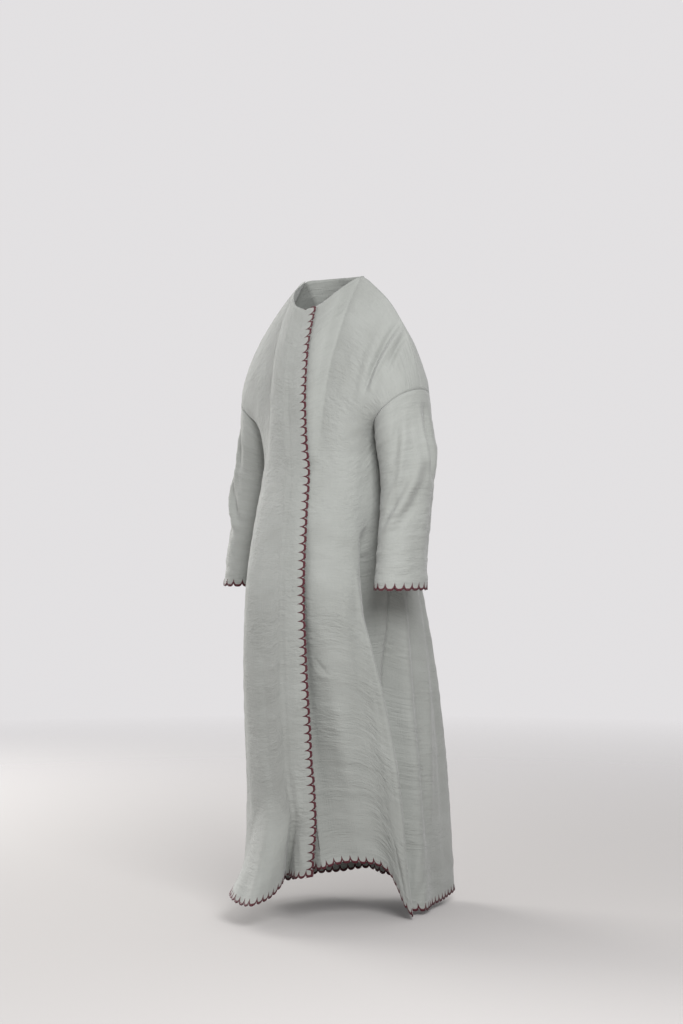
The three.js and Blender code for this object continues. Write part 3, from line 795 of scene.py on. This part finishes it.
def sleeve_point(side, place, angle, out=0.0):
    """A point of the worn sleeve, or off it by out millimetres, in metres. The wearer's
    left has side 1, and the right has side -1."""
    place, angle = np.broadcast_arrays(np.asarray(place, float), np.asarray(angle, float))
    ahead = np.where(place > 0.5, -0.002, 0.002)
    base = sleeve_section(place, angle)
    around = (sleeve_section(place, angle + 0.5) - base) / 0.5
    down = (sleeve_section(place + ahead, angle) - base) / ahead[..., None]
    normal = np.cross(around, down)
    normal /= np.linalg.norm(normal, axis=-1, keepdims=True)
    point = base + normal * (sleeve_relief(side, place, angle) + out)[..., None]
    point[..., 0] *= side
    return point * MM


# each crease is a line over the cut in millimetres, then its bow, height and width
SLEEVE_CREASES = [
    (((58, 12), (82, 150)), 3, -7, 12),
    (((49, 60), (74, 240)), -4, 6, 9),
    (((34, 30), (30, 150)), -3, -2.5, 8),
    (((106, 292), (19, 130)), -10, 9, 11),
    (((92, 322), (2, 156)), -8, -3.5, 10),
    (((116, 276), (58, 176)), -6, -7, 9),
    (((64, 58), (84, 92)), 2, -1.6, 4),
    (((72, 48), (92, 84)), 2, 1.6, 4),
    (((60, 104), (88, 150)), 3, 1.6, 4.5),
    (((70, 150), (100, 190)), 3, -1.6, 4.5),
    (((84, 190), (106, 222)), 2, 1.4, 4),
    (((112, 345), (40, 262)), -6, 2.5, 9),
    (((9, 24), (-4, 186)), -3, 5, 6),
    (((-8, 30), (-22, 186)), 0, -15, 9),
    (((-44, 150), (-44, 400)), 0, -11, 24),
    (((330, 60), (420, 210)), 12, 3, 14),
    (((20, 345), (88, 372)), 5, 1.4, 5),
    (((10, 372), (70, 398)), 4, -1.2, 5),
    (((48, 250), (96, 262)), 4, -1.6, 4),
    (((40, 268), (92, 282)), 4, 1.4, 4),
]


cuff_length, cuff_place = even_places(lambda t: sleeve_section(0 * t + 1, 180 + 360 * t))
sleeve_length, down_place = even_places(lambda t: sleeve_section(t, 90 + 0 * t))


def sleeve_cloth(name, side):
    """A sleeve, closed along its inner line, its cuff cut in scallops."""
    bm = flat_grid(CUFF_SCALLOPS * 5, 92, [(1, 1.0)], 1)

    def points(a, b):
        place = down_place(b)
        away = np.clip(1 - (1 - place) * sleeve_length / SCALLOP_FADE, 0, 1)
        place = place - scallop_inset(a * CUFF_SCALLOPS) / sleeve_length * away
        return sleeve_point(side, place, 180 + 360 * cuff_place(a))

    piece = cloth_object(
        name + "_cloth", bm, points, (cuff_length * MM, sleeve_length * MM), merge=True
    )
    if side < 0:
        piece.data.flip_normals()
    finish_cloth(piece, name)
    return piece


sleeve_cloths = {1: sleeve_cloth("sleeve_left", 1), -1: sleeve_cloth("sleeve_right", -1)}

# EMBROIDERED EDGES
# Burgundy satin stitch, padded and wrapped over every scallop of the front edges, hem
# and cuffs, running to a point between one scallop and the next.
STITCH_WIDTH = 6.0
TONGUE_DEPTH = 13.5
STITCH_LOFT = 0.8
STEPS_PER_SCALLOP = 12
STITCH_PROFILE = 8

thread = bpy.data.materials.new("burgundy_thread")
thread.use_nodes = True
nodes, links = thread.node_tree.nodes, thread.node_tree.links
silk = nodes["Principled BSDF"]
silk.inputs["Roughness"].default_value = 0.5
silk.inputs["Specular IOR Level"].default_value = 0.35
silk.inputs["Sheen Weight"].default_value = 0.04
run = nodes.new("ShaderNodeUVMap")
run.uv_map = "cut"
strands = nodes.new("ShaderNodeTexWave")
strands.wave_type = "BANDS"
strands.bands_direction = "X"
strands.inputs["Scale"].default_value = 320
strands.inputs["Distortion"].default_value = 1.5
strands.inputs["Detail"].default_value = 1
# The thread's two colours follow the bands that raise its bump: painted shade in the troughs between strands
# and a painted highlight on their crests.
shade = nodes.new("ShaderNodeValToRGB")
shade.color_ramp.elements[0].color = (0.032, 0.0025, 0.006, 1)
shade.color_ramp.elements[1].color = (0.088, 0.007, 0.015, 1)
ridge = nodes.new("ShaderNodeBump")
ridge.inputs["Strength"].default_value = 0.6
ridge.inputs["Distance"].default_value = 0.0004
links.new(run.outputs["UV"], strands.inputs["Vector"])
links.new(strands.outputs["Fac"], shade.inputs["Fac"])
links.new(shade.outputs["Color"], silk.inputs["Base Color"])
links.new(strands.outputs["Fac"], ridge.inputs["Height"])
links.new(ridge.outputs["Normal"], silk.inputs["Normal"])


def stitched_edge(name, scallops, length, point_at, from_corner=0.0, closed=False):
    """point_at(share, inset, out) gives a point by share along the edge, distance in
    from the crest line, and height off the cloth, the last two in millimetres."""
    bm = flat_grid(scallops * STEPS_PER_SCALLOP, STITCH_PROFILE, [], 0)

    def points(a, b):
        phase = a * scallops
        across = np.abs(2 * (phase % 1) - 1)
        ends = 1.0 if closed else smooth(phase / 0.8 + from_corner)
        outer = scallop_inset(phase) * ends - 0.4
        inner = STITCH_WIDTH + TONGUE_DEPTH * across**4
        inner = np.maximum(inner, outer + 1.5)
        turn = np.pi * 2 * b
        share = 0.5 - 0.5 * np.cos(turn)
        inset = inner + (outer - inner) * share
        out = np.where(
            b < 0.5,
            -0.1 + (STITCH_LOFT + 0.1) * np.sin(turn),
            -CLOTH_THICKNESS + 0.1 + (STITCH_LOFT + 0.1) * np.sin(turn),
        )
        out = np.where(np.abs(b - 0.5) < 1e-6, -CLOTH_THICKNESS / 2, out)
        return point_at(a, inset, out)

    piece = cloth_object(name, bm, points, (length * MM, 0.02), merge=closed)
    piece.data.materials.append(thread)
    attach(piece, "root")
    return piece


def panel_hem_point(panel):
    def point(a, inset, out):
        s = panel["hem_place"](a)
        return panel_point(panel, s, 2 - inset / hem_height(panel, s), out)
    return point


def panel_edge_point(panel):
    def point(a, inset, out):
        v = 2 * panel["edge_place"](a)
        return panel_point(panel, inset / edge_width(panel, v), v, out)
    return point


for panel, piece, flat, area in (
    (back, back_cloth, (1.08, 1.46), 0.85),
    (front_right, front_right_cloth, (0.78, 1.44), 0.58),
    (front_left, front_left_cloth, (0.62, 1.44), 0.47),
):
    is_front = panel["is_front"]
    stitches = [stitched_edge(
        panel["name"] + "_hem_stitch", panel["hem_scallops"], panel["hem_length"],
        panel_hem_point(panel), 0 if is_front else 1,
    )]
    if is_front:
        stitches.append(stitched_edge(
            panel["name"] + "_edge_stitch", panel["edge_scallops"], panel["edge_length"],
            panel_edge_point(panel), 1,
        ))

for name, side in (("sleeve_left", 1), ("sleeve_right", -1)):
    def cuff_point(a, inset, out):
        return sleeve_point(side, 1 - inset / sleeve_length, 180 + 360 * cuff_place(a), out)

    stitch = stitched_edge(
        name + "_cuff_stitch", CUFF_SCALLOPS, cuff_length, cuff_point, closed=True
    )
